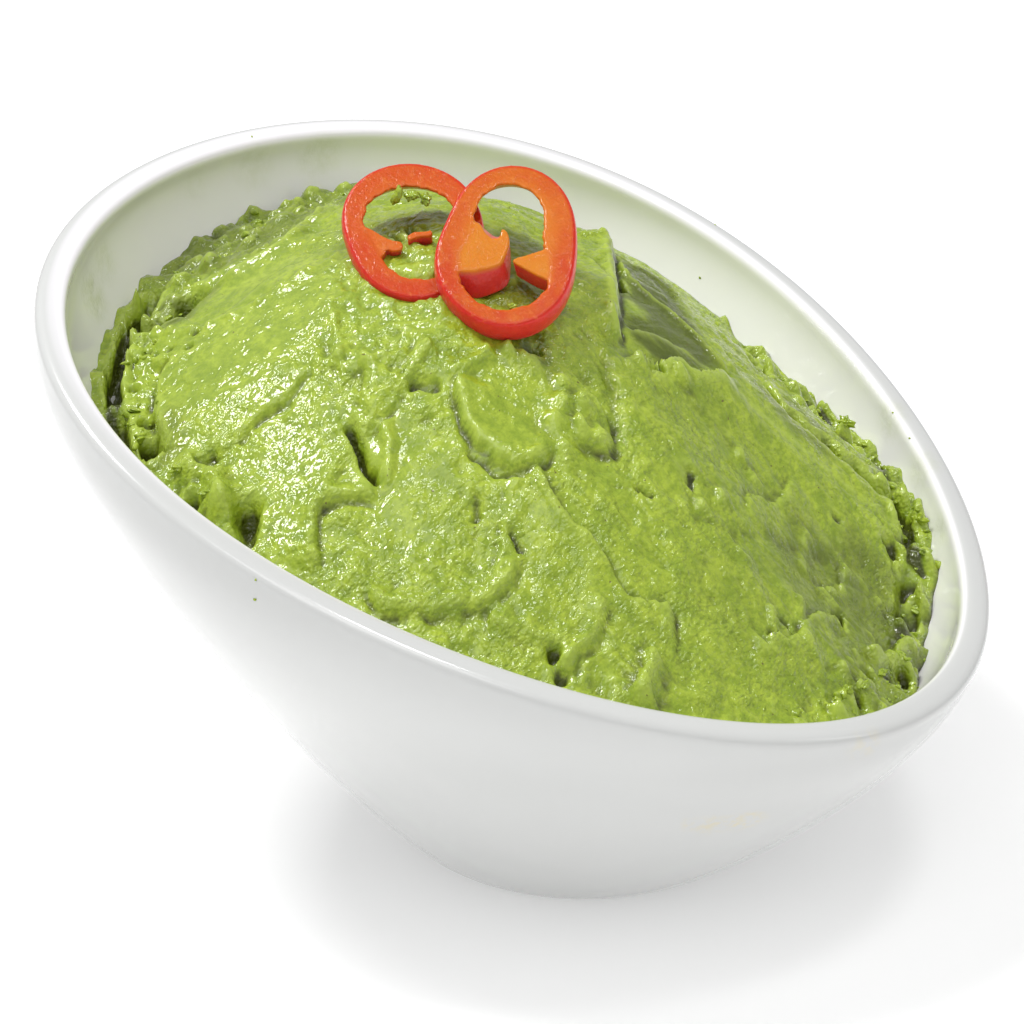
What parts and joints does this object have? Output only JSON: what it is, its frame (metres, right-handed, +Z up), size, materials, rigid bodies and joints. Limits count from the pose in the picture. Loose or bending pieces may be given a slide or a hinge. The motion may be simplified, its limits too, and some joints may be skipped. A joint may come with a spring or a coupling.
{
  "type": "bowl of guacamole",
  "caption": "Slant-rimmed white bowl heaped with smoothed guacamole, garnished with overlapping slices of red pepper.",
  "frame": {"origin": "on the table plane, under the middle of the bowl's bounding box", "axes": "+Z up; +X towards the low end of the slanted rim, so the high end is at -X; the bowl is mirror-symmetric about the XZ plane"},
  "size_m": [0.1506, 0.1518, 0.1089],
  "materials": {
    "glazed_white": "gloss",
    "guacamole": "satin",
    "red_pepper": "gloss"
  },
  "bodies": {
    "root": {"bowl": "glazed_white", "guacamole": "guacamole", "pepper_slice_top": "red_pepper", "pepper_slice_under": "red_pepper"}
  },
  "joints": []
}
